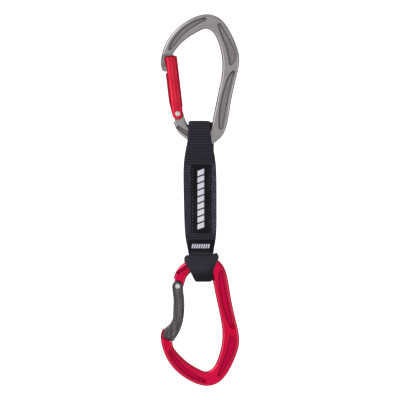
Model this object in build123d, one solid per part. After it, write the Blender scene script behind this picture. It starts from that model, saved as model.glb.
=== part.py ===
from build123d import *
from math import cos, radians, tan
import os

# A climbing quickdraw hanging from its upper carabiner. Millimetres, +Z up, +X towards the
# spines of both carabiners, -Y towards the face that carries the labels. The origin is the
# point inside the upper carabiner where the bolt hanger bears, so everything hangs below it.

# ---- driving dimensions -------------------------------------------------------------------
mirror_z = -130.2  # the lower frame is the upper one mirrored about this height

frame_depth = 10.0  # forging, front to back
frame_edge_radius = 2.4
pocket_depth = 2.3  # I-beam pockets, on both faces
pocket_wall_width = 1.3  # plan width of the sloping pocket walls

nose_neck_depth = 3.2
nose_foot_depth = 5.8
straight_stop_depth = 6.0  # the lip under the arm, above the straight gate's end
tongue_depth = 2.9
tongue_bottom_radius = 43.9  # about the rivet

hinge_x, hinge_z = -21.9, -64.7  # centre of the gate rivet
hinge_end_radius = 4.25  # rounded lower end of both gates
gate_gap = 0.4  # frame to gate, all round the hinge end
tang_depth = 4.0
tang_radius = 3.4
slot_depth = 4.6  # slot in the gate for the tang
slot_top = 5.0  # above the rivet, along the gate

gate_tilt = 6.65  # degrees, straight gate to the vertical
gate_length = 44.4
gate_radius = 5.12
gate_axis_shift = -0.5  # bar axis to the rivet, across the gate
bent_gate_depth = 9.8
bent_gate_edge_radius = 1.2
gate_groove_depth = 0.4

rivet_radius = 1.5
rivet_running_gap = 0.05
rivet_head_radius = 2.0
rivet_head_gap = 0.25
rivet_seat = 4.4  # head seat, out from the middle plane
rivet_head_height = 0.7

bore_shift = 2.2  # plunger and spring, inward of the rivet
bore_radius = 1.75
plunger_head_radius = 1.65
plunger_tip_radius = 0.7
plunger_tip_at = 1.3  # tip above the rivet at rest
plunger_head_bottom = 6.0
plunger_head_length = 2.6
straight_bore_end = 27.0
bent_bore_end = 20.5
spring_wire_radius = 0.22
spring_pitch = 1.5

tape_thickness = 2.3
tape_lean = 0.0125  # sideways drift of the sling's centre per mm of fall
tape_top_x = -5.5
tape_top_half_width = 8.2
tape_foot_half_width = 4.4
upper_loop_top = -70.3
lower_loop_bottom = -190.1
upper_eye_half_depth = 8.1  # outside of the tape where it passes the bar
lower_eye_half_depth = 7.6
neck_half_depth = 2.5
middle_half_depth = 3.5
upper_neck_z = -99.5  # bending line above the sewn middle
lower_neck_z = -158.4  # bending line below it
neck_gap = 0.4
neck_rise = neck_half_depth * tan(radians(30))  # each end is bevelled 30 degrees, both sides
upper_waist_z = -89.5  # where each eye is at its full depth, nearest the neck
lower_waist_z = -171.5

label_thickness = 0.5
label_x = (-11.7, 3.6)
label_z = (-155.7, -103.7)
stitch_pitch = 2.6
stitch_size = (0.5, 0.3, 1.5)
small_label_x = (-13.6, 5.5)
small_label_z = (-169.2, -160.6)

keeper_half_depth = 9.3
keeper_edge_radius = 1.2
keeper_clearance = 0.12  # keeper to tape
keeper_bar_gap = 0.25  # keeper to the carabiner's bar

tack_centres = {"upper_bar_tack": -110.5, "middle_bar_tack": -129.5, "lower_bar_tack": -148.5}
tack_size = (15.0, 0.6, 6.0)

os.makedirs("parts", exist_ok=True)
front = Plane.XZ  # sketches in x and z, with its normal towards -Y


# ---- helpers ------------------------------------------------------------------------------
def face_of(*edges):
    """A flat face in the XZ plane, from edges drawn as (x, z)."""
    return front * make_face(edges)


def outline_of(points):
    """Straight edges round the points."""
    return [Line(*pair) for pair in zip(points, points[1:] + points[:1])]


def slab(face, depth):
    """The face made solid, half of the depth each side of the middle plane."""
    return extrude(face, amount=depth / 2, both=True)


def block(x, y, z):
    """A box from its three ranges."""
    size = (x[1] - x[0], y[1] - y[0], z[1] - z[0])
    return Pos((x[0] + x[1]) / 2, (y[0] + y[1]) / 2, (z[0] + z[1]) / 2) * Box(*size)


def rod(radius, y_from, y_to, x, z):
    """A round bar along Y."""
    middle = Pos(x, (y_from + y_to) / 2, z)
    return middle * Rot(90, 0, 0) * Cylinder(radius, y_to - y_from)


def lower(shape):
    """A shape of the upper carabiner, moved to the lower one."""
    return mirror(shape, about=Plane.XY.offset(mirror_z))


# ---- carabiner frame ----------------------------------------------------------------------
# Both sides of the forging, seen from the front, as (x, z).
outer_line = [
    (-34.1, -20.2), (-31.1, -11.4), (-24.2, -1.3), (-14.7, 6.1), (-5.4, 10.3), (2.5, 11.1),
    (10.4, 7.8), (17.0, -0.3), (22.0, -10.6), (25.0, -21.6), (24.2, -31.0), (21.6, -42.0),
    (18.4, -57.5), (16.3, -70.1), (12.4, -80.8), (4.6, -87.6), (-3.6, -90.0), (-12.0, -86.0),
    (-20.2, -79.9), (-25.0, -71.2),
]
inner_line = [
    (-16.4, -67.9), (-14.0, -73.0), (-9.4, -77.1), (-3.9, -79.3), (1.6, -77.0), (4.6, -69.5),
    (7.2, -56.5), (10.1, -42.9), (11.9, -31.0), (11.5, -20.5), (8.7, -9.8), (4.7, -2.6),
    (0.0, 0.0), (-5.4, -1.7), (-14.7, -7.3), (-21.4, -13.6), (-24.9, -18.2),
]


def beside(points, distances):
    """The points moved sideways, each by its own distance to the left of the line's run."""
    places = [Vector(*point) for point in points]
    last = len(places) - 1
    moved = []
    for i, distance in enumerate(distances):
        along = (places[min(i + 1, last)] - places[max(i - 1, 0)]).normalized()
        moved.append(places[i] + Vector(-along.Y, along.X) * distance)
    return moved


# How far the lower arm goes on past the upper one, down its outside and its inside.
bent_arm_end = [(-34.85, -25.75), (-25.7, -22.0)]
straight_stop = [(-28.6, -20.2), (-25.1, -19.85), (-25.0, -17.0), (-28.6, -17.0)]


def frame_face(arm_end):
    """The whole forging from the arm's end round to the scoop under the gate."""
    outer, inner = Spline(*arm_end[:-1], *outer_line), Spline(*inner_line, *arm_end[-1:])
    scoop_bottom = (hinge_x, hinge_z - hinge_end_radius - gate_gap)
    scoop_side = (hinge_x + 3.3, hinge_z - 3.3)
    scoop_end = (hinge_x + 4.3, hinge_z - 1.9)
    shelf_left = (hinge_x - 3.4, hinge_z - 5.0)
    return face_of(
        outer,
        Line(outer @ 1, shelf_left),
        Line(shelf_left, scoop_bottom),
        ThreePointArc(scoop_bottom, scoop_side, scoop_end),
        Line(scoop_end, inner @ 0),
        inner,
        Line(inner @ 1, outer @ 0),
    )


def shelf_trim():
    """What comes off the shelf's corner, beside the gate's rounded end."""
    below, above = (hinge_x - 3.4, hinge_z - 7.3), (hinge_x - 1.6, hinge_z - 4.7)
    corner = (hinge_x - 5, hinge_z - 4)
    round_off = ThreePointArc(below, (hinge_x - 2.75, hinge_z - 5.75), above)
    return slab(face_of(round_off, Line(above, corner), Line(corner, below)), 2 * frame_depth)


def bar_passage(gap):
    """Clear room round the narrow basket, for the keeper that the lower one passes through."""
    outer_part, inner_part = outer_line[12:], inner_line[:7]
    outer = Spline(*beside(outer_part, [gap] * len(outer_part)))
    inner = Spline(*beside(inner_part, [gap] * len(inner_part)))
    face = face_of(outer, Line(outer @ 1, inner @ 0), inner, Line(inner @ 1, outer @ 0))
    return slab(face, frame_depth + 2 * gap)


# Pockets, each as a centre line with its half width: (x, z, half width) from end to end.
pockets = {
    "arm": [
        (-27.7, -15.1, 1.6), (-26.1, -12.3, 2.0), (-23.6, -8.9, 2.3), (-20.0, -4.4, 2.45),
        (-15.6, -0.3, 2.45), (-10.2, 3.3, 2.35), (-4.6, 6.0, 1.9), (-1.2, 7.2, 1.2),
    ],
    "upper_spine": [
        (9.7, 2.9, 1.5), (11.4, -0.8, 2.2), (13.8, -5.6, 2.7), (16.6, -11.5, 3.0),
        (18.9, -18.0, 3.4), (19.5, -22.6, 3.2), (18.7, -26.2, 1.9),
    ],
    "lower_spine": [
        (20.3, -33.2, 1.2), (18.4, -36.6, 2.2), (16.6, -42.6, 2.8), (14.5, -51.0, 3.05),
        (12.7, -60.0, 3.05), (11.4, -69.0, 2.6), (11.0, -75.0, 2.0),
    ],
    "hinge_bar": [
        (-21.6, -75.0, 1.4), (-18.0, -77.5, 1.8), (-13.5, -80.5, 1.9), (-8.8, -83.0, 1.6),
    ],
}


def pocket_face(line, inset, y):
    """The pocket's outline at one depth: two splines along the sides and an arc at each end."""
    centres = [(x, z) for x, z, half_width in line]
    widths = [max(half_width - inset, 0.3) for x, z, half_width in line]
    left = beside(centres, widths)
    right = beside(centres, [-width for width in widths])
    first, second, before_last, last = (Vector(*centres[i]) for i in (0, 1, -2, -1))
    start_tip = first + (first - second).normalized() * widths[0]
    end_tip = last + (last - before_last).normalized() * widths[-1]
    outline = face_of(
        Spline(*left),
        ThreePointArc(left[-1], end_tip, right[-1]),
        Spline(*reversed(right)),
        ThreePointArc(right[0], start_tip, left[0]),
    )
    return Pos(0, y, 0) * outline


def pocket_tool(line):
    """The sloping-sided cut for one pocket on the front face."""
    face_y = -frame_depth / 2
    rim = pocket_face(line, -0.03, face_y - 0.05)
    floor = pocket_face(line, pocket_wall_width, face_y + pocket_depth)
    return loft([rim, floor], ruled=True)


def nose():
    """The T-shaped key: a thin neck below the arm with a wider foot at its end."""
    outer = Spline((-32.2, -14.0), (-34.1, -20.2), (-34.9, -25.6), (-34.2, -29.9))
    foot_corner = ThreePointArc(outer @ 1, (-33.3, -31.8), (-31.4, -32.6))
    inner_corner = ThreePointArc((-29.6, -32.5), (-28.4, -31.8), (-28.0, -30.4))
    neck = face_of(
        outer, foot_corner, Line(foot_corner @ 1, inner_corner @ 0), inner_corner,
        Line((-28.0, -30.4), (-28.0, -16.0)), Line((-28.0, -16.0), (-32.2, -14.0)),
    )
    foot_zone = block((-36, -27), (-5, 5), (-34, -28.4))
    foot = slab(neck, nose_foot_depth) & foot_zone
    foot = fillet(foot.edges().filter_by(Axis.X).group_by(Axis.Z)[-1], 0.6)
    return slab(neck, nose_neck_depth) + foot


def straight_gate_lip():
    """Closes the gap under the arm: a lip above the gate's end, and a tongue in the end's slot."""
    lip = slab(face_of(*outline_of(straight_stop)), straight_stop_depth)
    lip = fillet(lip.edges().filter_by(Axis.Y).group_by(Axis.Z)[0], 0.3)
    tongue = block((-28.6, -25.1), (-tongue_depth / 2, tongue_depth / 2), (-24, -18))
    return lip + (tongue - rod(tongue_bottom_radius, -5, 5, hinge_x, hinge_z))


def tongue_slot():
    """Room in the straight gate's end for that tongue, open on the gate's outer side."""
    room = block((-40, -24.6), (-tongue_depth / 2 - 0.4, tongue_depth / 2 + 0.4), (-26, -15))
    return room - rod(tongue_bottom_radius - gate_gap, -5, 5, hinge_x, hinge_z)


def tang():
    """The flat tongue between the gate's cheeks, with the plunger's notch and the inner lip."""
    def at(x, z):
        return (hinge_x + x, hinge_z + z)

    crown = CenterArc(at(0, 0), tang_radius, 180, -104.5)
    notch = ThreePointArc(at(1.2, 1.7), at(2.1, 0.9), at(3.3, 1.0))
    corners = [notch @ 1, at(4.2, 1.3), at(5.0, -1.6), at(6.1, -6.0), at(-1.5, -8.0)]
    sides = [Line(*pair) for pair in zip(corners, corners[1:] + [crown @ 0])]
    return slab(face_of(crown, Line(crown @ 1, notch @ 0), notch, *sides), tang_depth)


def carabiner_frame(arm_end=()):
    """The forging; arm_end is set where the arm runs on to a bent gate's end."""
    body = slab(frame_face(list(arm_end)), frame_depth)
    long_edges = [e for e in body.edges() if e.length > 60 and abs(e.center().Y) > 1]
    body = fillet(long_edges, frame_edge_radius) - shelf_trim()
    for line in pockets.values():
        pocket = pocket_tool(line)
        body = body - pocket - mirror(pocket, about=Plane.XZ)
    body = body + nose() + tang()
    if not arm_end:
        body = body + straight_gate_lip()
    return body - rod(rivet_radius, -10, 10, hinge_x, hinge_z)


# ---- gates --------------------------------------------------------------------------------
# A gate is drawn upright about its rivet: u is across it, v runs up it from the rivet.
def gate_place(tilt):
    return Pos(hinge_x, 0, hinge_z) * Rot(0, -tilt, 0)


def hinge_cuts(bore_end):
    """What both gates lose at the hinge: tang slot, rivet hole, head seats and spring bore."""
    slot = block((-9, 9), (-slot_depth / 2, slot_depth / 2), (-9, slot_top))
    hole = rod(rivet_radius + rivet_running_gap, -9, 9, 0, 0)
    seat_radius = rivet_head_radius + rivet_head_gap
    seats = rod(seat_radius, -9, -rivet_seat, 0, 0) + rod(seat_radius, rivet_seat, 9, 0, 0)
    length = bore_end - slot_top + 1
    bore = Pos(bore_shift, 0, slot_top - 1 + length / 2) * Cylinder(bore_radius, length)
    return slot + hole + seats + bore


def nose_cuts():
    """Room for the frame's T-shaped nose, open on the gate's outer side."""
    across = (-40, -27.4)
    return block(across, (-2.0, 2.0), (-34, -15)) + block(across, (-3.3, 3.3), (-33.7, -27.9))


def straight_gate():
    left, right = gate_axis_shift - gate_radius, gate_axis_shift + gate_radius
    end = CenterArc((0, 0), hinge_end_radius, 180, 180)
    outline = face_of(
        end,
        Line((hinge_end_radius, 0), (right, 6)), Line((right, 6), (right, gate_length)),
        Line((right, gate_length), (left, gate_length)), Line((left, gate_length), (left, 10)),
        Line((left, 10), (-hinge_end_radius, 0)),
    )
    bar_length = gate_length + 10
    bar = Pos(gate_axis_shift, 0, bar_length / 2 - 10) * Cylinder(gate_radius, bar_length)
    bar = chamfer(bar.edges().group_by(Axis.Z)[-1], 0.9)
    gate = (bar & slab(outline, 20)) - hinge_cuts(straight_bore_end)
    return gate_place(gate_tilt) * gate - nose_cuts() - tongue_slot()


def gate_grooves():
    """A groove round the front face and a shallow valley down its middle, both front and back."""
    panel = [
        (0.0, 0.0, 3.2), (0.5, 6.0, 3.0), (0.85, 12.0, 3.05), (0.8, 18.8, 3.05), (0.0, 25.6, 2.95),
        (-2.0, 31.0, 3.1), (-4.3, 35.0, 3.4), (-6.2, 37.4, 3.1),
    ]
    valley = [
        (0.4, 6.5, 0.5), (0.85, 12.0, 1.1), (0.8, 18.8, 1.3), (0.0, 25.6, 1.2), (-2.0, 31.0, 1.1),
        (-4.6, 35.4, 0.5),
    ]
    face_y, depth = -bent_gate_depth / 2, gate_groove_depth
    above, below = face_y - 0.05, face_y + depth
    outside = loft([pocket_face(panel, -0.02, above), pocket_face(panel, 0.25, below)], ruled=True)
    island = loft(
        [pocket_face(panel, 0.8, above - 0.01), pocket_face(panel, 0.5, below + 0.01)], ruled=True
    )
    middle = loft([pocket_face(valley, -0.02, above), pocket_face(valley, 0.45, below)], ruled=True)
    front_cuts = (outside - island) + middle
    return front_cuts + mirror(front_cuts, about=Plane.XZ)


def bent_gate():
    """Flat-sided bar with rounded edges that swings out to a thumb pad at the nose."""
    up, down = (0, 1), (0, -1)
    left = Spline(
        (-hinge_end_radius, 0), (-3.3, 9), (-3.5, 19), (-4.2, 25.6), (-6.6, 29.2), (-9.6, 32.0),
        (-11.2, 35.4), (-11.4, 38.0), tangents=[up, (0.1, 1)],
    )
    pad_corner = ThreePointArc((-11.4, 38.0), (-11.1, 39.0), (-10.2, 39.7))
    tip_corner = ThreePointArc((-4.6, 42.0), (-3.7, 42.0), (-2.9, 41.4))
    right = Spline(
        (-2.9, 41.4), (-0.2, 37.4), (2.3, 32.4), (4.1, 26.4), (5.1, 18.8), (5.0, 9),
        (hinge_end_radius, 0), tangents=[(0.5, -0.8), down],
    )
    end = ThreePointArc((hinge_end_radius, 0), (0, -hinge_end_radius), (-hinge_end_radius, 0))
    outline = face_of(
        left, pad_corner, Line(pad_corner @ 1, tip_corner @ 0), tip_corner, right, end
    )
    bar = slab(outline, bent_gate_depth)
    bar = fillet([e for e in bar.edges() if abs(e.center().Y) > 4], bent_gate_edge_radius)
    gate = bar - hinge_cuts(bent_bore_end) - gate_grooves()
    return Pos(hinge_x, 0, hinge_z) * gate - nose_cuts()


def rivet():
    """Shank with a low domed head each end."""
    shank = rod(rivet_radius, -rivet_seat - 0.1, rivet_seat + 0.1, hinge_x, hinge_z)
    seat = rivet_seat + 0.05
    top = seat + rivet_head_height
    heads = rod(rivet_head_radius, seat, top, hinge_x, hinge_z)
    heads = fillet(heads.edges().group_by(Axis.Y)[-1], 0.45)
    return shank + heads + mirror(heads, about=Plane.XZ)


def plunger():
    """A headed pin: the tip rests in the tang's notch and the spring pushes on the head."""
    tip_length = plunger_head_bottom - plunger_tip_at
    tip = Pos(0, 0, plunger_tip_at + tip_length / 2) * Cylinder(plunger_tip_radius, tip_length)
    tip = fillet(tip.edges().group_by(Axis.Z)[0], 0.45)
    head = Pos(0, 0, plunger_head_bottom + plunger_head_length / 2)
    return Pos(bore_shift, 0, 0) * (tip + head * Cylinder(plunger_head_radius, plunger_head_length))


def spring(bore_end):
    bottom = plunger_head_bottom + plunger_head_length + spring_wire_radius + 0.05
    top = bore_end - spring_wire_radius - 0.1
    coil_radius = plunger_head_radius - spring_wire_radius - 0.1
    path = Helix(spring_pitch, top - bottom, coil_radius)
    wire = Plane(path @ 0, z_dir=path % 0) * Circle(spring_wire_radius)
    return Pos(bore_shift, 0, bottom) * sweep(wire, path)


# ---- sling --------------------------------------------------------------------------------
def tape_centre(z):
    return tape_top_x + tape_lean * (upper_loop_top - z)


def tape_outline(grow=0):
    """The webbing seen from the front: narrow at both eyes, wide in the sewn middle."""
    half_widths = [
        (-77.0, 8.2), (-84.6, 9.0), (-92.5, 10.5), (-99.8, 11.8), (-108.0, 12.4),
        (-118.5, 12.5), (-133.0, 12.4), (-147.6, 12.2), (-156.0, 11.8), (-161.8, 11.0),
        (-166.0, 10.1), (-171.0, 9.2), (-178.0, 7.9), (-184.0, 6.2), (-188.0, 5.0),
    ]
    left = Spline(*[(tape_centre(z) - w - grow, z) for z, w in half_widths])
    right = Spline(*[(tape_centre(z) + w + grow, z) for z, w in half_widths])
    top_left, top_right = ((tape_top_x + side * tape_top_half_width, upper_loop_top) for side in (-1, 1))
    foot_z = lower_loop_bottom - grow
    foot_half_width = tape_foot_half_width + grow
    foot_left, foot_right = ((tape_centre(foot_z) + side * foot_half_width, foot_z) for side in (-1, 1))
    return face_of(
        Line(left @ 0, top_left), Line(top_left, top_right), Line(top_right, right @ 0), right,
        Line(right @ 1, foot_right), Line(foot_right, foot_left), Line(foot_left, left @ 1), left,
    )


def eye_section(half_depth, end_z, waist_z, neck_z, up):
    """One eye seen from the side, as a closed outline of (y, z); up is 1 for the upper eye."""
    corner = 4.2
    bow = corner * (1 - cos(radians(45)))
    shoulder_z = end_z - up * corner
    edges = [Line((-neck_half_depth, neck_z), (neck_half_depth, neck_z))]
    for side in (-1, 1):
        shoulder = (side * half_depth, shoulder_z)
        crown = (side * (half_depth - corner), end_z)
        middle = (side * (half_depth - bow), end_z - up * bow)
        edges.append(Line((side * neck_half_depth, neck_z), (side * half_depth, waist_z)))
        edges.append(Line((side * half_depth, waist_z), shoulder))
        edges.append(ThreePointArc(shoulder, middle, crown))
    edges.append(Line((corner - half_depth, end_z), (half_depth - corner, end_z)))
    return Plane.YZ * make_face(edges)


def across(face):
    """A side section made solid right across the tape, then cut to the tape's outline."""
    return extrude(face, amount=60, both=True) & slab(tape_outline(), 40)


def neck_wedge(neck_z, side):
    """The bevelled end that a webbing piece has at a bending line; side is 1 above the line."""
    tip = neck_z + side * neck_gap / 2
    base = tip + side * neck_rise
    profile = Polyline((-neck_half_depth, base), (0, tip), (neck_half_depth, base), close=True)
    return across(Plane.YZ * make_face(profile))


def webbing_eye(half_depth, end_z, waist_z, neck_z, up):
    """A tape loop with its bevelled neck; up is 1 for the upper eye."""
    start = neck_z + up * (neck_gap / 2 + neck_rise)
    outer = eye_section(half_depth, end_z, waist_z, start, up)
    inner = offset(outer, amount=-tape_thickness, kind=Kind.INTERSECTION)
    return across(outer) - extrude(inner, amount=60, both=True) + neck_wedge(neck_z, up)


def webbing_upper_loop():
    return webbing_eye(upper_eye_half_depth, upper_loop_top, upper_waist_z, upper_neck_z, 1)


def webbing_lower_loop():
    return webbing_eye(lower_eye_half_depth, lower_loop_bottom, lower_waist_z, lower_neck_z, -1)


def webbing_middle():
    """The sewn middle: front and back tape with the overlapped ends between them."""
    top = upper_neck_z - neck_gap / 2
    bottom = lower_neck_z + neck_gap / 2
    right_side = [
        (0, top), (neck_half_depth, top - neck_rise), (middle_half_depth, top - 7),
        (middle_half_depth, bottom + 5), (neck_half_depth, bottom + neck_rise), (0, bottom),
    ]
    left_side = [(-y, z) for y, z in reversed(right_side[1:-1])]
    return across(Plane.YZ * make_face(Polyline(*right_side, *left_side, close=True)))


def bar_tack(z):
    """One block of zigzag sewing on the back of the tape."""
    x = tape_centre(z)
    back = middle_half_depth + 0.02
    width, depth, height = tack_size
    tack = block(
        (x - width / 2, x + width / 2), (back, back + depth), (z - height / 2, z + height / 2)
    )
    return fillet(tack.edges().filter_by(Axis.Y), 0.8)


def large_label():
    face = -middle_half_depth - 0.02
    label = block(label_x, (face - label_thickness, face), label_z)
    return fillet(label.edges().filter_by(Axis.Y), 0.5)


def label_stitching():
    """Two rows of short stitches along the label's long edges."""
    face = -middle_half_depth - 0.04 - label_thickness
    count = int((label_z[1] - label_z[0]) / stitch_pitch)
    rows = (label_x[0] + 1.2, label_x[1] - 1.2)
    middle = (label_z[0] + label_z[1]) / 2
    places = [
        Pos(x, face - stitch_size[1] / 2, middle + (i - (count - 1) / 2) * stitch_pitch)
        for x in rows
        for i in range(count)
    ]
    return Compound(children=[place * Box(*stitch_size) for place in places])


def small_label():
    """A woven label on the sloping front of the lower neck."""
    start_z = lower_neck_z - neck_gap / 2 - neck_rise
    slope = (lower_eye_half_depth - neck_half_depth) / (start_z - lower_waist_z)
    near = [-neck_half_depth - (start_z - z) * slope - 0.03 for z in small_label_z]
    outline = Polyline(
        (near[0], small_label_z[0]), (near[1], small_label_z[1]),
        (near[1] - label_thickness, small_label_z[1]),
        (near[0] - label_thickness, small_label_z[0]), close=True,
    )
    left, right = small_label_x
    return Pos(left, 0, 0) * extrude(Plane.YZ * make_face(outline), amount=right - left)


def keeper_block():
    """The keeper's outside: wide shoulders that taper down to a blunt foot."""
    left = Spline(
        (-14.6, -171.4), (-16.4, -173.4), (-16.9, -177.0), (-15.0, -180.4), (-11.1, -187.4),
        (-8.9, -191.6),
    )
    right = Spline((4.6, -190.4), (5.5, -184.6), (8.4, -177.0), (9.5, -173.8), (8.6, -170.6))
    foot_left = ThreePointArc(left @ 1, (-8.2, -192.3), (-7.2, -192.4))
    foot_right = ThreePointArc((2.6, -192.2), (3.9, -191.8), right @ 0)
    outline = face_of(
        left, foot_left, Line((-7.2, -192.4), (2.6, -192.2)), foot_right, right,
        Line(right @ 1, (6.8, -169.9)), Line((6.8, -169.9), left @ 0),
    )
    return slab(outline, 2 * keeper_half_depth)


def rubber_keeper():
    """Moulded rubber round the lower eye, with a window each side for the carabiner's bar."""
    body = keeper_block()
    rims = [e for e in body.edges() if abs(e.center().Y) > keeper_half_depth - 1]
    body = fillet(rims, keeper_edge_radius)
    start = lower_neck_z - neck_gap / 2 - neck_rise
    grown = lower_eye_half_depth + keeper_clearance
    end_z = lower_loop_bottom - keeper_clearance
    section = eye_section(grown, end_z, lower_waist_z + 0.5, start, -1)
    room = extrude(section, amount=60, both=True) & slab(tape_outline(keeper_clearance), 40)
    return body - room - lower(bar_passage(keeper_bar_gap))


parts = {
    "upper_frame": carabiner_frame(),
    "upper_gate": straight_gate(),
    "upper_rivet": rivet(),
    "upper_plunger": gate_place(gate_tilt) * plunger(),
    "upper_gate_spring": gate_place(gate_tilt) * spring(straight_bore_end),
    "lower_frame": lower(carabiner_frame(bent_arm_end)),
    "lower_gate": lower(bent_gate()),
    "lower_rivet": lower(rivet()),
    "lower_plunger": lower(gate_place(0) * plunger()),
    "lower_gate_spring": lower(gate_place(0) * spring(bent_bore_end)),
    "webbing_upper_loop": webbing_upper_loop(),
    "webbing_middle": webbing_middle(),
    "webbing_lower_loop": webbing_lower_loop(),
    "large_label": large_label(),
    "label_stitching": label_stitching(),
    "small_label": small_label(),
    "rubber_keeper": rubber_keeper(),
}
for name, z in tack_centres.items():
    parts[name] = bar_tack(z)

for name, shape in parts.items():
    export_step(shape, f"parts/{name}.step")
    print(name, round(shape.volume, 1), shape.is_valid)
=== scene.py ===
import math

import bmesh
import bpy
import numpy as np
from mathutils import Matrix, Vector


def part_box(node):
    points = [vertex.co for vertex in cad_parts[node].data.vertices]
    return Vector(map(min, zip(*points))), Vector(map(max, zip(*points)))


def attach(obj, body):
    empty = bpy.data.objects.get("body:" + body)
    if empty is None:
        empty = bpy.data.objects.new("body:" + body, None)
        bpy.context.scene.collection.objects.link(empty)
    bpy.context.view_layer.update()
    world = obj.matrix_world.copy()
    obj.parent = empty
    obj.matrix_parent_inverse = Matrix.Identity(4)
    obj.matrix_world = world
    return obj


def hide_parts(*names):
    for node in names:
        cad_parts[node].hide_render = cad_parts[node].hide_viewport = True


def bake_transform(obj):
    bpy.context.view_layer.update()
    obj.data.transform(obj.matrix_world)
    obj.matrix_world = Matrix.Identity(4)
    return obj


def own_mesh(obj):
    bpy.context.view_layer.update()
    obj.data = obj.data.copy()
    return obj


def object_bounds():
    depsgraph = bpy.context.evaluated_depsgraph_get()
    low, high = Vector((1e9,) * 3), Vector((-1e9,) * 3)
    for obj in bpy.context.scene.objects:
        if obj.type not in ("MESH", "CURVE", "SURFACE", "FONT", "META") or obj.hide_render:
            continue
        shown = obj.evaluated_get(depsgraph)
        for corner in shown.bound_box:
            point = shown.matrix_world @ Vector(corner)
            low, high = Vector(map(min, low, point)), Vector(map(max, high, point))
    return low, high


# A climbing quickdraw: two carabiners on a sewn sling. Places and sizes are in millimetres until
# new_piece() makes a mesh of them, and -Y is the face that carries the labels.
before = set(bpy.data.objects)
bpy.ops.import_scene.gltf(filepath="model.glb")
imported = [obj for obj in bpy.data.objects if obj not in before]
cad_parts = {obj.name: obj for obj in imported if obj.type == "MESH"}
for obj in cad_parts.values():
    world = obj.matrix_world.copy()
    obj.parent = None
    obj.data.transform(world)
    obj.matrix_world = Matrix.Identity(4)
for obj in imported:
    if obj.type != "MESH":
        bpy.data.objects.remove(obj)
cad_lo, cad_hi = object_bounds()
MM = 0.001


def box_mm(node):
    """A CAD node's lowest and highest corners at rest, in millimetres."""
    low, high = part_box(node)
    return np.array(low) / MM, np.array(high) / MM


# ---- curves and meshes ---------------------------------------------------------------------
def smooth_line(points, spacing):
    """Points evenly spaced along a Catmull-Rom curve through the given ones, in any dimension."""
    p = np.array(points, float)
    p = np.vstack([2 * p[0] - p[1], p, 2 * p[-1] - p[-2]])
    t = np.linspace(0, 1, 24, endpoint=False)[:, None]
    spans = []
    for a, b, c, d in zip(p, p[1:], p[2:], p[3:]):
        squared, cubed = 2 * a - 5 * b + 4 * c - d, 3 * b - a - 3 * c + d
        spans.append(0.5 * (2 * b + (c - a) * t + squared * t**2 + cubed * t**3))
    dense = np.vstack(spans + [p[-2][None]])
    along = np.concatenate([[0], np.cumsum(np.linalg.norm(np.diff(dense, axis=0), axis=1))])
    count = max(2, int(round(along[-1] / spacing)) + 1)
    at = np.linspace(0, along[-1], count)
    return np.stack([np.interp(at, along, dense[:, k]) for k in range(dense.shape[1])], axis=1)


def smooth_table(pairs):
    """A smooth function of one value, from a few (value, result) pairs."""
    curve = smooth_line(pairs, 0.25)
    curve = curve[np.argsort(curve[:, 0])]
    return lambda v: np.interp(v, curve[:, 0], curve[:, 1])


def smoothstep(low, high, v):
    t = np.clip((np.asarray(v, float) - low) / (high - low), 0, 1)
    return t * t * (3 - 2 * t)


def new_piece(name, points, faces, smooth=True):
    """An object from points in millimetres."""
    mesh = bpy.data.meshes.new(name)
    mesh.from_pydata((np.asarray(points, float) * MM).tolist(), [], [list(f) for f in faces])
    mesh.update()
    work = bmesh.new()
    work.from_mesh(mesh)
    bmesh.ops.recalc_face_normals(work, faces=work.faces)
    work.to_mesh(mesh)
    work.free()
    if smooth:
        mesh.polygons.foreach_set("use_smooth", [True] * len(mesh.polygons))
    piece = bpy.data.objects.new(name, mesh)
    bpy.context.scene.collection.objects.link(piece)
    return piece


def tube_faces(rows, columns, closed_rows=False):
    """Quads round a tube of rings, with both ends capped unless the rows close on themselves."""
    faces = []
    for r in range(rows if closed_rows else rows - 1):
        a, b = r * columns, (r + 1) % rows * columns
        for c in range(columns):
            d = (c + 1) % columns
            faces.append((a + c, a + d, b + d, b + c))
    if not closed_rows:
        faces.append(tuple(range(columns))[::-1])
        faces.append(tuple(range((rows - 1) * columns, rows * columns)))
    return faces


def directions(line):
    """The unit vector along a line at each of its points."""
    along = np.gradient(line, axis=0)
    return along / np.linalg.norm(along, axis=1)[:, None]


def tube_along(line, radius, sides, up=(0, 1, 0)):
    """Rings round a line that never runs along up: (points, faces) with capped ends."""
    line = np.asarray(line, float)
    along = directions(line)
    side = np.cross(along, up)
    side /= np.maximum(np.linalg.norm(side, axis=1), 1e-9)[:, None]
    other = np.cross(side, along)
    turn = np.linspace(0, 2 * math.pi, sides, endpoint=False)
    ring = np.cos(turn)[:, None] * side[:, None] + np.sin(turn)[:, None] * other[:, None]
    radii = np.broadcast_to(np.asarray(radius, float), (len(line),))
    points = line[:, None] + ring * radii[:, None, None]
    return points.reshape(-1, 3), tube_faces(len(line), sides)


def joined(parts):
    """Several (points, faces) as one."""
    points, faces, n = [], [], 0
    for some_points, some_faces in parts:
        points.append(some_points)
        faces += [tuple(i + n for i in face) for face in some_faces]
        n += len(some_points)
    return np.vstack(points), faces


def mark(piece, name, values):
    """A value for each vertex, for the material to read."""
    layer = piece.data.attributes.new(name, "FLOAT", "POINT")
    layer.data.foreach_set("value", np.asarray(values, np.float32))


def dress(piece, body, slot, material, *nodes):
    """Material and body of a new piece, and the CAD nodes that it stands for; slot is not used."""
    piece.data.materials.append(material)
    if nodes:
        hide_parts(*nodes)
    if body:
        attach(piece, body)
    return piece


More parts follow.
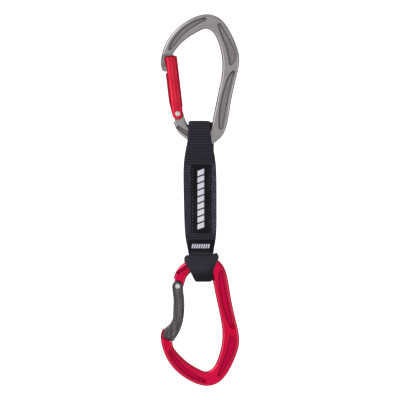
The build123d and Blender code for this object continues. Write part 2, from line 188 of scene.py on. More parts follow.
# ---- materials -----------------------------------------------------------------------------
def add_node(tree, kind, inputs=None, **settings):
    made = tree.nodes.new("ShaderNode" + kind)
    for key, value in settings.items():
        setattr(made, key, value)
    for key, value in (inputs or {}).items():
        if isinstance(value, bpy.types.NodeSocket):
            tree.links.new(value, made.inputs[key])
        else:
            made.inputs[key].default_value = value
    return made


def new_material(name, **values):
    """A material with a Principled shader, and values for its own sockets."""
    material = bpy.data.materials.new(name)
    material.use_nodes = True
    shader = material.node_tree.nodes["Principled BSDF"]
    for key, value in values.items():
        shader.inputs[key.replace("_", " ")].default_value = value
    return material, material.node_tree, shader


def object_coordinates(tree):
    return add_node(tree, "TexCoord").outputs["Object"]


def noise(tree, scale, detail=3.0, roughness=0.5, vector=None):
    vector = vector or object_coordinates(tree)
    inputs = {"Vector": vector, "Scale": scale, "Detail": detail, "Roughness": roughness}
    return add_node(tree, "TexNoise", inputs).outputs["Fac"]


def spread(tree, value, low, high, to_low, to_high):
    """A value stretched from one range to another, and held at its ends."""
    inputs = {
        "Value": value, "From Min": low, "From Max": high, "To Min": to_low, "To Max": to_high
    }
    return add_node(tree, "MapRange", inputs).outputs["Result"]


def blend_colours(tree, factor, first, second):
    made = add_node(tree, "Mix", {"Factor": factor}, data_type="RGBA")
    for socket, value in ((made.inputs[6], first), (made.inputs[7], second)):
        if isinstance(value, bpy.types.NodeSocket):
            tree.links.new(value, socket)
        else:
            socket.default_value = (*value, 1)
    return made.outputs[2]


def bump(tree, height, strength, distance_mm, under=None):
    inputs = {"Height": height, "Strength": strength, "Distance": distance_mm * MM}
    if under is not None:
        inputs["Normal"] = under
    return add_node(tree, "Bump", inputs).outputs["Normal"]


def calculated(tree, operation, *values):
    return add_node(tree, "Math", dict(enumerate(values)), operation=operation).outputs[0]


def facing_y(tree):
    """How squarely a surface faces the front or the back, from 0 to 1."""
    normal = {"Vector": add_node(tree, "TexCoord").outputs["Normal"]}
    return calculated(tree, "ABSOLUTE", add_node(tree, "SeparateXYZ", normal).outputs["Y"])


def off_middle(tree):
    """How far a point is in front of or behind the middle plane, in metres."""
    place = {"Vector": object_coordinates(tree)}
    return calculated(tree, "ABSOLUTE", add_node(tree, "SeparateXYZ", place).outputs["Y"])


def pocket_floors(tree):
    """1 on the flat floors of the frames' pockets, which lie 2.7 mm from the middle plane."""
    low = spread(tree, off_middle(tree), 0.0031, 0.0028, 0, 1)
    even = spread(tree, facing_y(tree), 0.90, 0.97, 0, 1)
    return calculated(tree, "MULTIPLY", low, even)


def rolled_edges(tree):
    """1 along the shoulder of the long edges' rounding, where the material paints a highlight."""
    facing = facing_y(tree)
    above = spread(tree, facing, 0.74, 0.84, 0, 1)
    below = spread(tree, facing, 0.90, 0.975, 1, 0)
    return calculated(tree, "MULTIPLY", above, below)


def pocket_walls(tree):
    """1 on the pockets' sloping walls, which lean 29.5 degrees."""
    facing = facing_y(tree)
    above = spread(tree, facing, 0.42, 0.46, 0, 1)
    below = spread(tree, facing, 0.53, 0.57, 1, 0)
    return calculated(tree, "MULTIPLY", above, below)


def anodised(name, colour, shade, bright, roughness=0.3, floor=None, wall=None, highlight_streaks=False):
    """Tumbled and anodised aluminium: cloudy colour, a fine grain, a few rubbed scuffs and, when
    asked, painted highlight streaks along its length.

    A forging's pockets have their own floor colour; their walls are painted dark at the foot as shade
    and painted lighter up to the rim as a highlight, and the rolled edges get a painted highlight.
    """
    material, tree, shader = new_material(name, Metallic=1.0, IOR=1.5)
    clouds = noise(tree, 90, 4)
    scuffs = spread(tree, noise(tree, 420, 6, 0.7), 0.60, 0.78, 0, 0.55)
    base = blend_colours(tree, spread(tree, clouds, 0.35, 0.65, 0, 1), colour, shade)
    if highlight_streaks:
        # Painted highlight: bright streaks along the length, in the colour.
        where = object_coordinates(tree)
        along = add_node(tree, "Mapping", {"Vector": where, "Scale": (1, 1, 0.07)}).outputs["Vector"]
        painted_streaks = spread(tree, noise(tree, 520, 3, 0.6, along), 0.42, 0.66, 0, 0.85)
        base = blend_colours(tree, painted_streaks, base, bright)
    if floor:
        # Painted highlight: the shoulders of the rolled edges are brightened in the colour.
        edge_highlight = calculated(tree, "MULTIPLY", rolled_edges(tree), 0.8)
        base = blend_colours(tree, edge_highlight, base, tuple(min(1, 1.25 * c) for c in bright))
        base = blend_colours(tree, pocket_floors(tree), base, floor)
        # Painted shade darkens the pocket walls at their foot, and painted light brightens them up to
        # the rim.
        foot = tuple(0.22 * c for c in floor)
        walls = pocket_walls(tree)
        painted_wall_shading = blend_colours(tree, spread(tree, off_middle(tree), 0.0028, 0.0043, 0, 1), foot, wall)
        base = blend_colours(tree, walls, base, painted_wall_shading)
        tree.links.new(spread(tree, walls, 0, 1, 1, 0.35), shader.inputs["Metallic"])
    tree.links.new(blend_colours(tree, scuffs, base, bright), shader.inputs["Base Color"])
    grain = noise(tree, 2600, 3)
    tree.links.new(
        spread(tree, grain, 0.3, 0.7, roughness - 0.05, roughness + 0.09),
        shader.inputs["Roughness"],
    )
    soft = bump(tree, clouds, 0.12, 0.5)
    tree.links.new(bump(tree, grain, 0.06, 0.05, soft), shader.inputs["Normal"])
    return material


def plain_steel(name, colour, roughness=0.28):
    """Bare steel with soft darker marks."""
    material, tree, shader = new_material(name, Metallic=1.0)
    marks = noise(tree, 900, 5, 0.6)
    darker = tuple(0.72 * c for c in colour)
    tree.links.new(
        blend_colours(tree, spread(tree, marks, 0.35, 0.7, 0, 1), colour, darker),
        shader.inputs["Base Color"],
    )
    tree.links.new(
        spread(tree, marks, 0.3, 0.7, roughness - 0.06, roughness + 0.12),
        shader.inputs["Roughness"],
    )
    tree.links.new(bump(tree, marks, 0.15, 0.05), shader.inputs["Normal"])
    return material


def woven(name, dark, light, thread_mm, slant, sheen=0.25, roughness=0.75):
    """Woven cloth: two crossing sets of threads, in colour and in height."""
    material, tree, shader = new_material(name, Sheen_Weight=sheen, Sheen_Roughness=0.45)
    shader.inputs["Specular IOR Level"].default_value = 0.22
    where = object_coordinates(tree)
    turning = {"Vector": where, "Rotation": (0, slant, 0)}
    turned = add_node(tree, "Mapping", turning).outputs["Vector"]
    inputs = {
        "Vector": turned, "Scale": 0.5 / (thread_mm * MM), "Distortion": 0.6, "Detail": 1.0,
        "Detail Scale": 3.0,
    }
    threads = []
    for direction in ("X", "Z"):
        wave = add_node(tree, "TexWave", inputs, bands_direction=direction, wave_type="BANDS")
        threads.append(wave.outputs["Fac"])
    height = calculated(tree, "MULTIPLY", *threads)
    fibres = noise(tree, 3000, 4, 0.6, where)
    patches = noise(tree, 60, 3, 0.5, where)
    base = blend_colours(tree, height, dark, light)
    wear_and_painted_shade = tuple(min(1, 1.5 * c + 0.004) for c in light)
    tree.links.new(
        blend_colours(tree, spread(tree, patches, 0.52, 0.75, 0, 0.5), base, wear_and_painted_shade),
        shader.inputs["Base Color"],
    )
    tree.links.new(
        spread(tree, fibres, 0.3, 0.7, roughness - 0.1, roughness + 0.12),
        shader.inputs["Roughness"],
    )
    relief = bump(tree, height, 0.5, thread_mm * 0.25)
    tree.links.new(bump(tree, fibres, 0.25, 0.05, relief), shader.inputs["Normal"])
    return material


def ribbed_tape(name, groove_shade, dark, light):
    """Coarse nylon tape: painted shade in the grooves between ribs, with a fuzzy, speckled zone at the
    label.
    """
    material, tree, shader = new_material(name, Sheen_Weight=0.08, Sheen_Roughness=0.45)
    shader.inputs["Specular IOR Level"].default_value = 0.22
    where = object_coordinates(tree)
    rib = add_node(tree, "Attribute", attribute_name="rib").outputs["Fac"]
    fuzz = add_node(tree, "Attribute", attribute_name="fuzz").outputs["Fac"]
    inputs = {"Vector": where, "Scale": 320.0, "Distortion": 0.8, "Detail": 1.0}
    wave = add_node(tree, "TexWave", inputs, bands_direction="X", wave_type="BANDS")
    strands = wave.outputs["Fac"]
    fibres = noise(tree, 2600, 4, 0.65, where)
    speckle = noise(tree, 1100, 3, 0.7, where)
    cloth = blend_colours(tree, spread(tree, strands, 0.1, 0.9, 0, 1), dark, light)
    # Painted shade: the grooves between the ribs are darker, less so in the fuzzy zone.
    raised = spread(tree, rib, 0.20, 0.90, 0, 1)
    filled = calculated(tree, "MAXIMUM", raised, calculated(tree, "MULTIPLY", fuzz, 0.6))
    ribs = blend_colours(tree, filled, groove_shade, cloth)
    dots = spread(tree, speckle, 0.46, 0.70, 0, 1)
    wear_and_painted_shade = tuple(3.0 * c for c in light)
    masked = calculated(tree, "MULTIPLY", calculated(tree, "MULTIPLY", dots, fuzz), 0.75)
    tree.links.new(blend_colours(tree, masked, ribs, wear_and_painted_shade), shader.inputs["Base Color"])
    tree.links.new(spread(tree, fibres, 0.3, 0.7, 0.66, 0.88), shader.inputs["Roughness"])
    relief = bump(tree, strands, 0.45, 0.18)
    tree.links.new(bump(tree, fibres, 0.35, 0.08, relief), shader.inputs["Normal"])
    return material


def moulded_rubber(name, colour, lighter):
    """Matt rubber with a little dust on it, and painted shade darkening its foot."""
    material, tree, shader = new_material(name, Sheen_Weight=0.05, Sheen_Roughness=0.5)
    shader.inputs["Specular IOR Level"].default_value = 0.16
    dust = noise(tree, 110, 5, 0.6)
    height = add_node(tree, "SeparateXYZ", {"Vector": object_coordinates(tree)}).outputs["Z"]
    wear_and_painted_shade = tuple(0.32 * c for c in colour)
    fine = noise(tree, 2200, 3, 0.6)
    dusty = blend_colours(tree, spread(tree, dust, 0.4, 0.75, 0, 1), colour, lighter)
    # Painted shade: the foot is darkened towards the bottom.
    foot = spread(tree, height, -0.1825, -0.1875, 0, 1)
    tree.links.new(blend_colours(tree, foot, dusty, wear_and_painted_shade), shader.inputs["Base Color"])
    tree.links.new(spread(tree, fine, 0.3, 0.7, 0.52, 0.68), shader.inputs["Roughness"])
    soft = bump(tree, dust, 0.08, 0.6)
    tree.links.new(bump(tree, fine, 0.18, 0.05, soft), shader.inputs["Normal"])
    return material


# The frames' wall colours are painted light up to the rim over painted shade at the foot, and their
# rolled edges get a painted highlight.
GREY = anodised(
    "grey_anodised", (0.36, 0.335, 0.34), (0.31, 0.285, 0.29), (0.50, 0.48, 0.48), 0.36,
    floor=(0.265, 0.232, 0.232), wall=(0.44, 0.41, 0.42),
)
RED_FRAME = anodised(
    "red_anodised", (0.70, 0.009, 0.062), (0.62, 0.005, 0.049), (0.82, 0.06, 0.11), 0.27,
    floor=(0.54, 0.003, 0.055), wall=(0.90, 0.04, 0.12),
)
RED_GATE = anodised("red_gate", (0.78, 0.032, 0.068), (0.70, 0.018, 0.052), (0.90, 0.11, 0.15), 0.30)
# The dark gate's lengthwise streaks are painted highlights.
DARK_GATE = anodised(
    "dark_gate", (0.100, 0.085, 0.093), (0.082, 0.070, 0.077), (0.22, 0.20, 0.21), 0.26, highlight_streaks=True
)
STEEL = plain_steel("steel", (0.70, 0.72, 0.72))
SPRING_STEEL = plain_steel("spring_steel", (0.45, 0.45, 0.46), 0.34)
# The tape's first colour is painted shade for the grooves between ribs.
TAPE = ribbed_tape("tape", (0.0085, 0.0076, 0.0130), (0.021, 0.0190, 0.030), (0.043, 0.0395, 0.061))
LABEL = woven("label", (0.0050, 0.0045, 0.0080), (0.0115, 0.0105, 0.0160), 0.32, 0.785, 0.0, 0.85)
WHITE_THREAD = woven("white_thread", (0.78, 0.78, 0.90), (0.95, 0.95, 1.0), 0.30, 0.0, 0.2, 0.6)
THREAD = woven("thread", (0.026, 0.024, 0.034), (0.085, 0.080, 0.100), 0.22, 0.5, 0.3)
PALE_THREAD = woven("pale_thread", (0.060, 0.058, 0.072), (0.12, 0.12, 0.14), 0.2, 0.4, 0.1)
RUBBER = moulded_rubber("rubber", (0.0270, 0.0240, 0.0370), (0.041, 0.037, 0.050))


# ---- stage, lights and camera --------------------------------------------------------------
def stage_and_camera():
    """A white studio, with the camera straight in front of the quickdraw."""
    low, high = np.array(cad_lo), np.array(cad_hi)
    centre = (low + high) / 2
    distance = 2.6  # camera to the middle plane, in metres, as are the lights' places and sizes
    framing = 1.07585  # the picture's height over the quickdraw's
    picture_height = framing * (high[2] - low[2])
    floor_z = low[2] / MM - 350
    reach = 4100  # floor and backdrop, out from the quickdraw: further than the camera

    def flat_stage(name, corners, glow):
        """A pale sheet that glows in its middle."""
        shell, tree, shader = new_material(name, Roughness=0.9)
        tint = noise(tree, 3, 2)
        colour = blend_colours(tree, tint, (0.86, 0.86, 0.865), (0.88, 0.88, 0.88))
        tree.links.new(colour, shader.inputs["Base Color"])
        shader.inputs["Emission Color"].default_value = (1, 1, 1, 1)
        if glow:
            sides = add_node(tree, "SeparateXYZ", {"Vector": object_coordinates(tree)})
            off = calculated(tree, "ABSOLUTE", sides.outputs["X"])
            tree.links.new(spread(tree, off, 0.8, 2.9, glow, 0), shader.inputs["Emission Strength"])
        piece = new_piece(name, corners, [(0, 1, 2, 3)], smooth=False)
        piece.data.materials.append(shell)

    floor_corners = [(-reach, -reach), (reach, -reach), (reach, reach), (-reach, reach)]
    flat_stage("studio_floor", [(x, y, floor_z) for x, y in floor_corners], 0.0)
    backdrop_corners = [(-reach, floor_z), (reach, floor_z), (reach, reach), (-reach, reach)]
    flat_stage("studio_backdrop", [(x, reach, z) for x, z in backdrop_corners], 1.0)

    def soft_light(name, place, size, brightness):
        """A square panel of an even brightness, aimed at the quickdraw."""
        data = bpy.data.lights.new(name, "AREA")
        data.shape, data.size = "SQUARE", size
        data.energy = brightness * math.pi * size**2
        lamp = bpy.data.objects.new(name, data)
        lamp.location = Vector(centre) + Vector(place)
        lamp.rotation_euler = (-Vector(place)).to_track_quat("-Z", "Y").to_euler()
        bpy.context.scene.collection.objects.link(lamp)

    soft_light("front_light", (0.1, -3.0, 0.35), 2.2, 0.80)
    soft_light("key_light", (-1.7, -1.5, 1.5), 1.5, 2.4)
    soft_light("left_light", (-2.2, -1.5, 0.1), 1.3, 1.5)
    soft_light("fill_light", (2.1, -1.1, -0.1), 1.2, 1.35)
    soft_light("edge_light", (-1.9, 0.1, 1.8), 1.5, 1.4)
    soft_light("top_light", (0.3, 0.5, 2.2), 1.4, 1.5)
    soft_light("back_light", (1.0, 2.6, 1.2), 1.4, 1.1)
    world = bpy.data.worlds.new("studio_world")
    world.use_nodes = True
    background = world.node_tree.nodes["Background"]
    background.inputs["Color"].default_value = (1, 1, 1, 1)
    background.inputs["Strength"].default_value = 0.30
    bpy.context.scene.world = world

    data = bpy.data.cameras.new("camera")
    data.sensor_width = 36
    data.lens = data.sensor_width * distance / picture_height
    camera = bpy.data.objects.new("camera", data)
    camera.location = (centre[0], -distance, centre[2])
    camera.rotation_euler = (math.radians(90), 0, 0)
    bpy.context.scene.collection.objects.link(camera)
    bpy.context.scene.camera = camera
    bpy.context.scene.view_settings.view_transform = "Standard"


# ---- sling ---------------------------------------------------------------------------------
TAPE_THICKNESS = 2.3
RIB_PITCH = 2.05
ROWS_PER_RIB = 7
RIB_HEIGHT = 0.36
FUZZY_RIB_HEIGHT = 0.16  # beside the large label
THREAD_COLUMN = 1.7  # two neighbouring columns of threads across a rib
SEAM_Z = -129.8  # where the two halves of the loop meet
MIRROR_Z = -130.2  # the lower frame is the upper one mirrored about this height
POCKET_FLOOR_Y = -2.7
loop_top = box_mm("webbing_upper_loop")[1][2]
loop_bottom = box_mm("webbing_lower_loop")[0][2]
upper_eye_depth = box_mm("webbing_upper_loop")[1][1]
lower_eye_depth = box_mm("webbing_lower_loop")[1][1]
middle_depth = box_mm("webbing_middle")[1][1]
half_width = smooth_table([
    (-190.2, 4.5), (-186.5, 5.2), (-182.5, 6.6), (-178.0, 7.9), (-171.0, 9.3), (-166.0, 10.1),
    (-161.8, 11.0), (-156.0, 11.8), (-147.6, 12.2), (-133.0, 12.4), (-118.5, 12.5),
    (-108.0, 12.4), (-99.8, 11.8), (-92.5, 10.5), (-84.6, 9.0), (-77.0, 8.25), (-70.2, 8.15),
])


def tape_centre(z):
    """The tape's middle across its width: it hangs a little out of plumb."""
    return -5.5 + 0.0125 * (loop_top - z)


def beside_label(y, z):
    """1 on the front of the tape at the large label's height, where it is fuzzy."""
    return smoothstep(-101, -106, z) * smoothstep(-158, -154, z) * (np.asarray(y) < 0)


def tape_half(name, side_line, skew):
    """Half of the sewn loop as one ribbed strip; side_line is its outside as (y, z)."""
    line = smooth_line(side_line, RIB_PITCH / ROWS_PER_RIB)
    along = directions(line)
    out = np.stack([-along[:, 1], along[:, 0]], axis=1)
    turning_point = len(line) // 2
    if out[turning_point, 1] * (line[turning_point, 1] - line[:, 1].mean()) < 0:
        out = -out
    ribs_passed = np.arange(len(line)) / ROWS_PER_RIB
    ridges = np.abs(np.sin(math.pi * ribs_passed)) ** 0.6
    across = np.linspace(-1, 1, 58)
    half = TAPE_THICKNESS / 2
    turn = np.linspace(0, math.pi, 8)[1:-1]
    edge_out, edge_up = np.sin(turn), (half - 0.2) * np.cos(turn)
    rings = []
    for (y, z), (out_y, out_z), ribs, ridge in zip(line, out, ribs_passed, ridges):
        w = float(half_width(z)) - half
        centre = tape_centre(z) + float(skew(y, z))
        offset_thread = math.pi * (int(ribs) % 2)
        bead = 0.035 * np.cos(across * w * 2 * math.pi / THREAD_COLUMN + offset_thread)
        rib_height = RIB_HEIGHT + (FUZZY_RIB_HEIGHT - RIB_HEIGHT) * beside_label(y, z)
        lift = (rib_height + bead) * ridge - 0.12 - 0.25 * np.abs(across) ** 6
        edge = w + (half + 0.20 * ridge) * edge_out
        section_x = centre + np.concatenate([across * w, edge, across[::-1] * w, -edge])
        inside = np.full(len(across), -TAPE_THICKNESS - 0.1 * ridge)
        section_out = np.concatenate([lift, edge_up - half, inside, -edge_up - half])
        rings.append(np.stack([section_x, y + out_y * section_out, z + out_z * section_out], axis=1))
    points = np.vstack(rings)
    piece = new_piece(name, points, tube_faces(len(rings), len(rings[0])))
    mark(piece, "rib", np.repeat(ridges, len(rings[0])))
    more_right = 0.5 + 1.2 * smoothstep(0, 5, points[:, 0])
    mark(piece, "fuzz", beside_label(points[:, 1], points[:, 2]) * more_right)
    return piece


def mirrored(points):
    """A side line from its front half: the same points again at the back, in reverse."""
    return [(-y, z) for y, z in points] + [(y, z) for y, z in reversed(points)]


def sling():
    """Front and back tape in two halves, each bending at one neck, and what lies between."""
    upper_front = [
        (middle_depth, SEAM_Z), (middle_depth, -120), (middle_depth, -112), (middle_depth, -108),
        (3.1, -104.6), (2.62, -101.5), (2.62, -98.8), (3.7, -96.0), (5.6, -93.0), (7.3, -90.2),
        (upper_eye_depth, -87.0), (upper_eye_depth, -82.0), (upper_eye_depth, -76.5),
        (7.0, -72.6), (4.4, loop_top + 0.1), (1.6, loop_top),
    ]
    lower_front = [
        (middle_depth, SEAM_Z), (middle_depth, -138), (middle_depth, -146), (middle_depth, -152),
        (3.2, -155.6), (2.75, -158.2), (3.0, -160.6), (4.4, -164.2), (6.2, -168.4),
        (lower_eye_depth, -172.4), (lower_eye_depth, -178), (lower_eye_depth, -184),
        (6.4, -188.0), (3.8, loop_bottom - 0.1), (1.4, loop_bottom),
    ]

    def upper_skew(y, z):
        """How far the back of the upper eye hangs off to the spine's side."""
        return 2.7 * smoothstep(2.5, 7.5, y) * smoothstep(-96, -80, z)

    def no_skew(y, z):
        return 0.0

    upper = tape_half("tape_upper_half", mirrored(upper_front), upper_skew)
    lower = tape_half("tape_lower_half", mirrored(lower_front), no_skew)
    dress(upper, None, "webbing", TAPE, "webbing_upper_loop", "webbing_middle")
    dress(lower, None, "webbing", TAPE, "webbing_lower_loop")
    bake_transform(upper)
    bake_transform(lower)
    tail()


def tail():
    """The overlapped ends between the front and the back tape."""
    zs = np.linspace(-106.5, -152.5, 160)
    turn = np.linspace(-math.pi / 2, math.pi / 2, 7)
    rings = []
    for i, z in enumerate(zs):
        rows_from_end = min(i, len(zs) - 1 - i)
        depth = 1.12 * min(1, 0.45 + rows_from_end / 5)
        edge = 0.5 + 0.12 * abs(math.sin(math.pi * (zs[0] - z) / RIB_PITCH))
        x, w = tape_centre(z), float(half_width(z)) - 0.75
        for side in (1, -1):
            rings += [
                (x + side * (w + edge * math.cos(a)), side * depth * math.sin(a), z) for a in turn
            ]
    piece = new_piece("tape_overlap", rings, tube_faces(len(zs), 2 * len(turn)))
    dress(piece, "sling_middle", "webbing", TAPE)


# ---- labels and sewing ---------------------------------------------------------------------
def flat(z):
    """No setback at any height: the cloth hangs upright."""
    return 0.0


def cloth_plate(x_range, z_range, front_y, thickness, columns, rows, lift=flat):
    """A thin closed plate of cloth facing -Y, with rolled edges: (points, faces).

    lift(z) is how far it is set back at each height.
    """
    xs, zs = np.linspace(*x_range, columns), np.linspace(*z_range, rows)
    points = []
    for face in (0, 1):
        for z in zs:
            for x in xs:
                from_edge = min(x - xs[0], xs[-1] - x, z - zs[0], zs[-1] - z)
                roll = 0.6 * thickness * math.exp(-from_edge / 0.35)
                wave = 0.05 * math.sin(x * 1.3 + z * 0.35) * math.sin(z * 0.9)
                depth = roll + wave if face == 0 else thickness
                points.append((x, front_y + lift(z) + depth, z))
    faces, n = [], columns * rows
    for r in range(rows - 1):
        for c in range(columns - 1):
            a = r * columns + c
            faces.append((a, a + 1, a + columns + 1, a + columns))
            faces.append((n + a, n + a + columns, n + a + columns + 1, n + a + 1))
    rim = (
        [c for c in range(columns)]
        + [r * columns + columns - 1 for r in range(1, rows)]
        + [(rows - 1) * columns + c for c in range(columns - 2, -1, -1)]
        + [r * columns for r in range(rows - 2, 0, -1)]
    )
    for a, b in zip(rim, rim[1:] + rim[:1]):
        faces.append((a, n + a, n + b, b))
    return np.array(points), faces


def raised_bar(corners, front_y, height, lift=flat):
    """A satin-stitched bar standing off the label, from its corners as (x, z)."""
    corners = np.array(corners, float)
    middle = corners.mean(axis=0)
    levels = [(1.0, 0.05), (1.0, -0.5 * height), (0.94, -0.85 * height), (0.80, -height)]
    points = []
    for share, y in levels:
        for x, z in middle + (corners - middle) * share:
            points.append((x, front_y + y + lift(z), z))
    return np.array(points), tube_faces(len(levels), len(corners))


def slanted_bar(x_range, z_low, z_high, rise):
    """A bar across a column whose ends rise to the right."""
    left, right = x_range
    return [(left, z_low), (right, z_low + rise), (right, z_high + rise), (left, z_high)]


def stitch(start, end, sink=0.12, height=0.22, radius=0.22):
    """One stitch: a short thread that comes up, runs along the cloth and goes down."""
    start, end = np.array(start, float), np.array(end, float)
    t = np.linspace(0, 1, 9)
    line = start + (end - start) * t[:, None]
    line[:, 1] -= (height + sink) * np.sin(math.pi * t) ** 0.6 - sink
    return tube_along(line, radius * (0.7 + 0.3 * np.sin(math.pi * t)), 7)


def large_label():
    """The long label with a column of plain bars, its two rows of stitches and its hem."""
    (x0, y0, z0), (x1, y1, z1) = box_mm("large_label")
    cloth = cloth_plate((x0, x1), (z0, z1), y0 - 0.05, y1 - y0 + 0.1, 36, 90)
    dress(new_piece("label_cloth", *cloth), "sling_middle", "label", LABEL, "large_label")

    column = (x0 + 4.9, x0 + 9.9)
    top, bottom, count, gap, rise = z1 - 2.6, z0 + 3.0, 9, 1.1, 1.9
    step = (top - rise - bottom + gap) / count
    bars = []
    for low in bottom + step * np.arange(count):
        bars.append(raised_bar(slanted_bar(column, low, low + step - gap, rise), y0 - 0.02, 0.28))
    artwork = new_piece("label_artwork", *joined(bars), smooth=False)
    dress(artwork, "sling_middle", "label", WHITE_THREAD)

    stitches = []
    for x in (x0 + 1.2, x1 - 1.2):
        places = np.arange(z0 + 2.2, z1 - 1.0, 2.6)
        stitches += [stitch((x, y0, z - 0.75), (x, y0, z + 0.75)) for z in places]
    sewing = new_piece("label_sewing", *joined(stitches))
    dress(sewing, "sling_middle", "thread", THREAD, "label_stitching")

    hem_x = np.linspace(x0 + 0.6, x1 - 0.6, 40)
    hem_z = z0 + 0.25 - 0.55 * (1 - ((hem_x - x0 - 8) / 8) ** 2)
    sag = np.stack([hem_x, np.full(len(hem_x), y0 - 0.12), hem_z], axis=1)
    hem = new_piece("label_hem_thread", *tube_along(sag, 0.20, 7))
    dress(hem, "sling_middle", "thread", PALE_THREAD)


def small_label():
    """The short label, on the slope of the lower neck."""
    (x0, y0, z0), (x1, y1, z1) = box_mm("small_label")
    thickness = 0.5

    def lift(z):
        return (y1 - thickness - y0) * np.clip((z - z0) / (z1 - z0), 0, 1)

    cloth = cloth_plate((x0, x1), (z0, z1), y0 - 0.08, thickness, 40, 24, lift)
    dress(new_piece("small_label_cloth", *cloth), "lower_carabiner", "label", LABEL, "small_label")
    left, right, count = x0 + 2.2, x1 - 2.9, 8
    low, high = z0 + 2.4, z0 + 5.6
    step = (right - left) / count
    wide, slant = 0.62 * step, 0.38 * step
    bars = []
    for x in left + step * np.arange(count):
        corners = [(x, low), (x + wide, low), (x + wide + slant, high), (x + slant, high)]
        bars.append(raised_bar(corners, y0 - 0.06, 0.22, lift))
    artwork = new_piece("small_label_artwork", *joined(bars), smooth=False)
    dress(artwork, "lower_carabiner", "label", WHITE_THREAD)


def bar_tacks():
    """Dense zigzag sewing across the back of the tape, with three rows over it."""
    for name in ("upper_bar_tack", "middle_bar_tack", "lower_bar_tack"):
        (x0, y0, z0), (x1, _, z1) = box_mm(name)
        zigzag = []
        for i, x in enumerate(np.linspace(x0 + 0.3, x1 - 0.3, 44)):
            x += 0.14 * math.sin(i * 2.3)
            start, end = (z0 + 0.3, z1 - 0.3) if i % 2 else (z1 - 0.3, z0 + 0.3)
            for t in np.linspace(0, 1, 6):
                y = y0 + 0.26 + 0.20 * math.sin(math.pi * t)
                zigzag.append((x, y, start + (end - start) * t))
        threads = [tube_along(zigzag, 0.19, 6)]
        xs = np.linspace(x0 + 0.4, x1 - 0.4, 50)
        for z in np.linspace(z0 + 1.4, z1 - 1.4, 3):
            row = np.stack([xs, y0 + 0.56 + 0.04 * np.sin(4 * xs), z + 0.1 * np.sin(xs)], axis=1)
            threads.append(tube_along(row, 0.17, 6))
        piece = new_piece(name + "_sewing", *joined(threads))
        dress(piece, "sling_middle", "thread", PALE_THREAD, name)


# ---- keeper --------------------------------------------------------------------------------
def keeper():
    """Moulded rubber round the lower eye, lofted down from its top, bulging over the bar."""
    z0, z1 = (corner[2] for corner in box_mm("rubber_keeper"))
    left = smooth_table([
        (-192.5, -7.8), (-191.6, -8.9), (-187.4, -11.1), (-183.8, -12.9), (-180.4, -15.0),
        (-177.0, -16.9), (-174.6, -17.0), (-172.6, -17.0), (-171.0, -16.5), (-170.0, -15.4),
    ])
    right = smooth_table([
        (-192.5, 2.4), (-191.8, 3.9), (-190.4, 4.8), (-184.6, 5.5), (-180.6, 6.8), (-177.0, 8.4),
        (-173.9, 9.5), (-171.8, 9.0), (-170.6, 8.2), (-170.0, 7.2),
    ])
    depth = smooth_table([
        (-192.5, 7.0), (-191.4, 8.2), (-189.0, 8.8), (-182.0, 9.0), (-177.0, 9.3), (-173.8, 9.3),
        (-172.0, 8.8), (-170.8, 8.0), (-170.0, 7.0),
    ])
    count = 96
    turn = np.linspace(0, 2 * math.pi, count, endpoint=False)
    levels = np.linspace(z0 + 0.1, z1 - 0.1, 84)

    def dip(x, z):
        """The rim is lower over the tape and on the gate's side than at its right shoulder."""
        return 2.1 * (1 - smoothstep(3.6, 8.0, x)) * smoothstep(-177.5, z1 - 0.3, z)

    def ring(z, shrink):
        """A rounded rectangle at one height, made smaller all round by shrink."""
        middle, wide = (left(z) + right(z)) / 2, (right(z) - left(z)) / 2 - shrink
        power = 0.46 + 0.10 * float(smoothstep(-184, -172, z))
        cosine, sine = np.cos(turn), np.sin(turn)
        x = middle + wide * np.sign(cosine) * np.abs(cosine) ** power
        y = (depth(z) - shrink) * np.sign(sine) * np.abs(sine) ** power
        y *= 1 - 0.05 * smoothstep(0.55, 1.0, np.abs(x - middle) / wide)
        return np.stack([x, y, z - dip(x, z)], axis=1)

    rings = [ring(levels[0], shrink) for shrink in (2.4, 1.0)]
    rings += [ring(z, 0.0) for z in levels]
    rings += [ring(levels[-1], shrink) for shrink in (1.0, 2.4)]
    piece = new_piece("keeper_rubber", np.vstack(rings), tube_faces(len(rings), count))
    dress(piece, "lower_carabiner", "rubber", RUBBER, "rubber_keeper")


# ---- plain marks forged into the frames' pockets --------------------------------------------
def forged_ring(x, z, radius, tilt):
    """A raised oval ring on a pocket floor, seen from the front: (points, faces)."""
    turn = np.linspace(0, 2 * math.pi, 28, endpoint=False)
    long_way, short_way = radius * 1.25 * np.cos(turn), radius * np.sin(turn)
    out_x = long_way * math.cos(tilt) - short_way * math.sin(tilt)
    out_z = long_way * math.sin(tilt) + short_way * math.cos(tilt)
    length = np.hypot(out_x, out_z)
    section = ((-0.22, -0.1), (-0.14, 0.16), (0.0, 0.24), (0.14, 0.16), (0.22, -0.1))
    rings = []
    for step, height in section:
        grown = 1 + step / length
        y = np.full(len(turn), POCKET_FLOOR_Y - height)
        rings.append(np.stack([x + out_x * grown, y, z + out_z * grown], axis=1))
    points = np.stack(rings, axis=1).reshape(-1, 3)
    return points, tube_faces(len(turn), len(section), closed_rows=True)


def forged_tick(x, z, length, tilt):
    """A raised dash on a pocket floor."""
    reach = np.array([math.cos(tilt), 0, math.sin(tilt)]) * length / 2
    middle = np.array([x, POCKET_FLOOR_Y, z])
    line = np.linspace(middle - reach, middle + reach, 9)
    return tube_along(line, 0.22 * np.sin(np.linspace(0.35, math.pi - 0.35, 9)), 8)


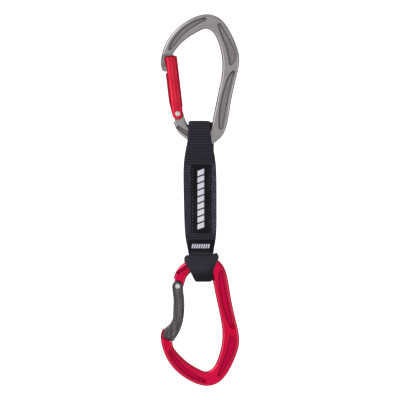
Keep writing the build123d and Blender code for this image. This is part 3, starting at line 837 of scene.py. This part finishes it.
def forged_marks():
    """Rings down the lower spine and dashes down the upper one, on the front of each frame."""
    def seven_along(points):
        line = smooth_line(points, 0.5)
        return [line[int(share * (len(line) - 1))] for share in np.linspace(0, 1, 7)]

    marks = []
    for i, (x, z) in enumerate(seven_along([(17.6, -42), (15, -50), (12.9, -60), (12.2, -65)])):
        marks.append(forged_ring(x, z, 0.85, 1.32) if i % 3 else forged_tick(x, z, 2.0, -0.25))
    for x, z in seven_along([(15.4, -9.5), (17.4, -15), (18.6, -19.5), (18.9, -23)]):
        marks.append(forged_tick(x, z, 2.2, -0.35))
    points, faces = joined(marks)
    dress(new_piece("upper_frame_marks", points, faces), "upper_carabiner", "grey_anodised", GREY)
    lower_points = points.copy()
    lower_points[:, 2] = 2 * MIRROR_Z - points[:, 2]
    lower_marks = new_piece("lower_frame_marks", lower_points, faces)
    dress(lower_marks, "lower_carabiner", "red_anodised_frame", RED_FRAME)


# ---- gate springs ---------------------------------------------------------------------------
RIVET_X, UPPER_RIVET_Z = -21.9, -64.7
BORE_SHIFT = 2.2  # the gates' bores, inward of their rivets
SPRING_START = 8.87  # the plunger's head, along the gate from the rivet


def gate_spring(gate, rivet_z, up, end):
    """A compression spring with closed ends, from the plunger's head up to end."""
    coil_radius, wire_radius = 1.33, 0.22
    closed, closed_pitch = 1.2, 0.46  # turns at each end that lie on each other
    turns = int((end - SPRING_START) / 1.35)
    rivet = np.array([RIVET_X, 0, rivet_z])
    up = np.array([up[0], 0.0, up[1]])
    across = np.array([abs(up[2]), 0, -up[0] * np.sign(up[2])])
    turned = np.linspace(0, turns, turns * 24 + 1)
    closed_turns = np.minimum(turned, closed) + np.maximum(turned - (turns - closed), 0)
    open_share = np.clip((turned - closed) / (turns - 2 * closed), 0, 1)
    open_length = end - SPRING_START - 2 * closed * closed_pitch
    height = SPRING_START + closed_turns * closed_pitch + open_share * open_length
    angle = (turned * 2 * math.pi)[:, None]
    coil = np.cos(angle) * across + np.sin(angle) * np.array([0, 1, 0])
    line = rivet + across * BORE_SHIFT + height[:, None] * up + coil_radius * coil
    piece = new_piece(f"{gate}_spring_wire", *tube_along(line, wire_radius, 8, up))
    dress(piece, f"{gate}_body", "spring_steel", SPRING_STEEL, f"{gate}_spring")
    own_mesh(piece)


def gate_springs():
    """The upper gate leans inward; the lower one hangs straight down."""
    lean = math.radians(6.65)
    gate_spring("upper_gate", UPPER_RIVET_Z, (-math.sin(lean), math.cos(lean)), 26.68)
    gate_spring("lower_gate", 2 * MIRROR_Z - UPPER_RIVET_Z, (0.0, -1.0), 20.18)


# ---- carried-over metal parts --------------------------------------------------------------
def metal_parts():
    """The CAD's own frames, gates, rivets and plungers, with better materials."""
    looks = {
        "upper_frame": GREY, "lower_frame": RED_FRAME, "upper_gate": RED_GATE,
        "lower_gate": DARK_GATE, "upper_rivet": STEEL, "lower_rivet": STEEL,
        "upper_plunger": STEEL, "lower_plunger": STEEL,
    }
    for node, look in looks.items():
        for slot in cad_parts[node].material_slots:
            slot.material = look


stage_and_camera()
sling()
large_label()
small_label()
bar_tacks()
keeper()
forged_marks()
gate_springs()
metal_parts()
